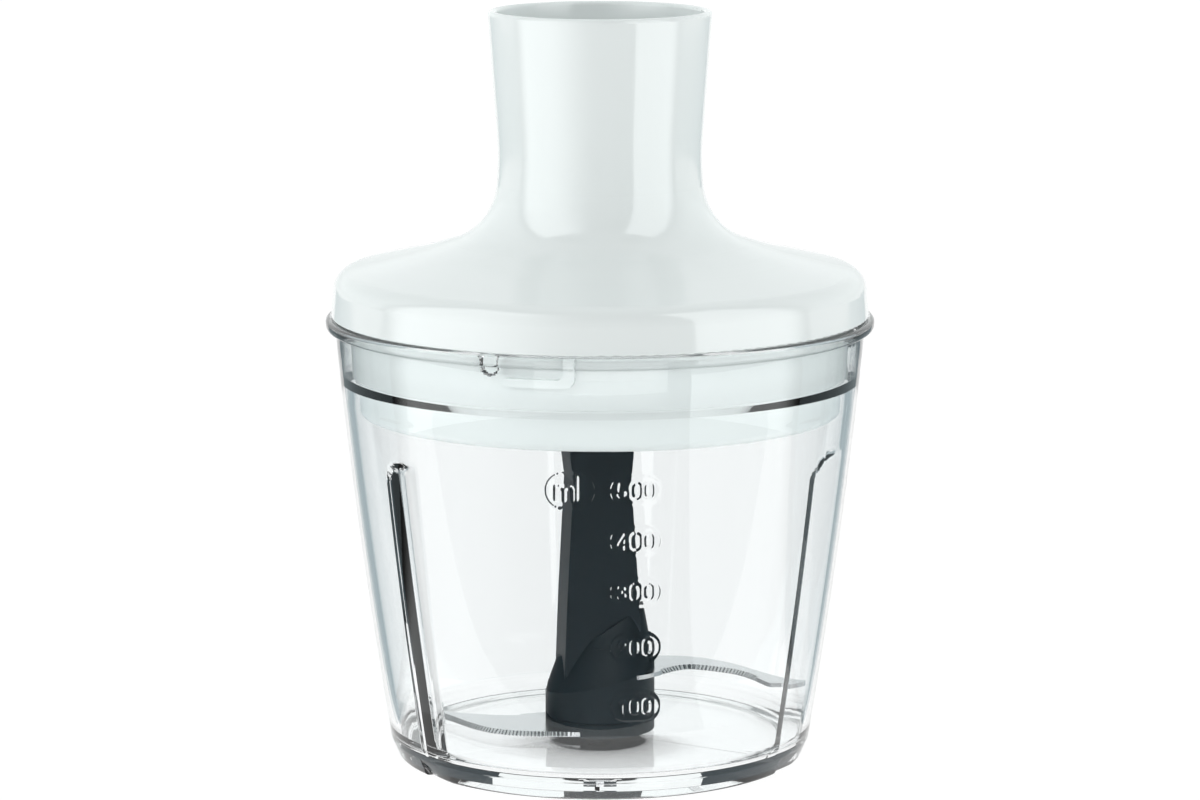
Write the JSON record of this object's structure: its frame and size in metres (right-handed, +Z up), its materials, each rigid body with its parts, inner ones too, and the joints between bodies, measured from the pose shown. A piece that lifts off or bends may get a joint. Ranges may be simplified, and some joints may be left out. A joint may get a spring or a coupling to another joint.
{
  "type": "food processor bowl",
  "caption": "Clear chopping bowl with an S-shaped blade unit on a spindle and a white geared lid whose tall open neck takes a motor unit.",
  "frame": {"origin": "on the table under the middle of the bowl", "axes": "+Z up along the spindle, the measuring scale faces -Y, +X is to the right of the scale"},
  "size_m": [0.126, 0.126, 0.1725],
  "materials": {
    "clear_plastic": "clear, polished",
    "white_plastic": "gloss",
    "black_plastic": "fine matte texture",
    "blade_steel": "fine brushed",
    "polished_steel": "ground and polished",
    "seal_rubber": "soft matte",
    "dark_rubber": "matte",
    "nylon": "natural nylon",
    "bronze": "sintered bronze"
  },
  "bodies": {
    "bowl": {"bowl": "clear_plastic", "spindle_pin": "polished_steel"},
    "seal": {"seal_ring": "seal_rubber"},
    "lid": {"lid_shell": "white_plastic", "lid_plug": "white_plastic", "shaft_seal": "dark_rubber", "gear_housing": "nylon", "gear_cover": "nylon", "cover_screws": "polished_steel", "ring_gear": "nylon", "lower_bush": "bronze", "upper_bush": "bronze", "thrust_washer": "polished_steel"},
    "input": {"input_shaft": "polished_steel", "sun_gear": "polished_steel", "shaft_clip": "polished_steel", "input_coupling": "black_plastic"},
    "carrier": {"planet_carrier": "nylon", "planet_pins": "polished_steel", "carrier_plate": "polished_steel", "output_socket": "black_plastic"},
    "planet_1": {"planet_gear_1": "nylon"},
    "planet_2": {"planet_gear_2": "nylon"},
    "planet_3": {"planet_gear_3": "nylon"},
    "sleeve": {"spindle_sleeve": "bronze"},
    "blades": {"blade_holder": "black_plastic", "lower_blade": "blade_steel", "upper_blade": "blade_steel"}
  },
  "joints": [
    {"name": "lid_lift", "type": "slide", "parent": "bowl", "child": "seal", "axis": [0, 0, 1], "range_m": [0, 0.14]},
    {"name": "lid_turn", "type": "hinge", "parent": "seal", "child": "lid", "pos_m": [0, 0, 0], "axis": [0, 0, 1], "range_deg": [-14, 0]},
    {"name": "input_spin", "type": "hinge", "parent": "lid", "child": "input", "pos_m": [0, 0, 0], "axis": [0, 0, 1], "continuous": true},
    {"name": "carrier_spin", "type": "hinge", "parent": "lid", "child": "carrier", "pos_m": [0, 0, 0], "axis": [0, 0, 1], "continuous": true},
    {"name": "blade_lift", "type": "slide", "parent": "bowl", "child": "sleeve", "axis": [0, 0, 1], "range_m": [0, 0.105]},
    {"name": "blade_spin", "type": "hinge", "parent": "sleeve", "child": "blades", "pos_m": [0, 0, 0], "axis": [0, 0, 1], "continuous": true},
    {"name": "planet_spin_1", "type": "hinge", "parent": "carrier", "child": "planet_1", "pos_m": [0.0135, 0, 0.0995], "axis": [0, 0, 1], "continuous": true},
    {"name": "planet_spin_2", "type": "hinge", "parent": "carrier", "child": "planet_2", "pos_m": [-0.00675, 0.01169, 0.0995], "axis": [0, 0, 1], "continuous": true},
    {"name": "planet_spin_3", "type": "hinge", "parent": "carrier", "child": "planet_3", "pos_m": [-0.00675, -0.01169, 0.0995], "axis": [0, 0, 1], "continuous": true}
  ],
  "couplings": [
    {"joint": "blade_lift", "follows": "lid_lift", "ratio": 0.75},
    {"joint": "carrier_spin", "follows": "input_spin", "ratio": 0.22222},
    {"joint": "blade_spin", "follows": "input_spin", "ratio": 0.22222},
    {"joint": "planet_spin_1", "follows": "input_spin", "ratio": -0.62222},
    {"joint": "planet_spin_2", "follows": "input_spin", "ratio": -0.62222},
    {"joint": "planet_spin_3", "follows": "input_spin", "ratio": -0.62222}
  ]
}
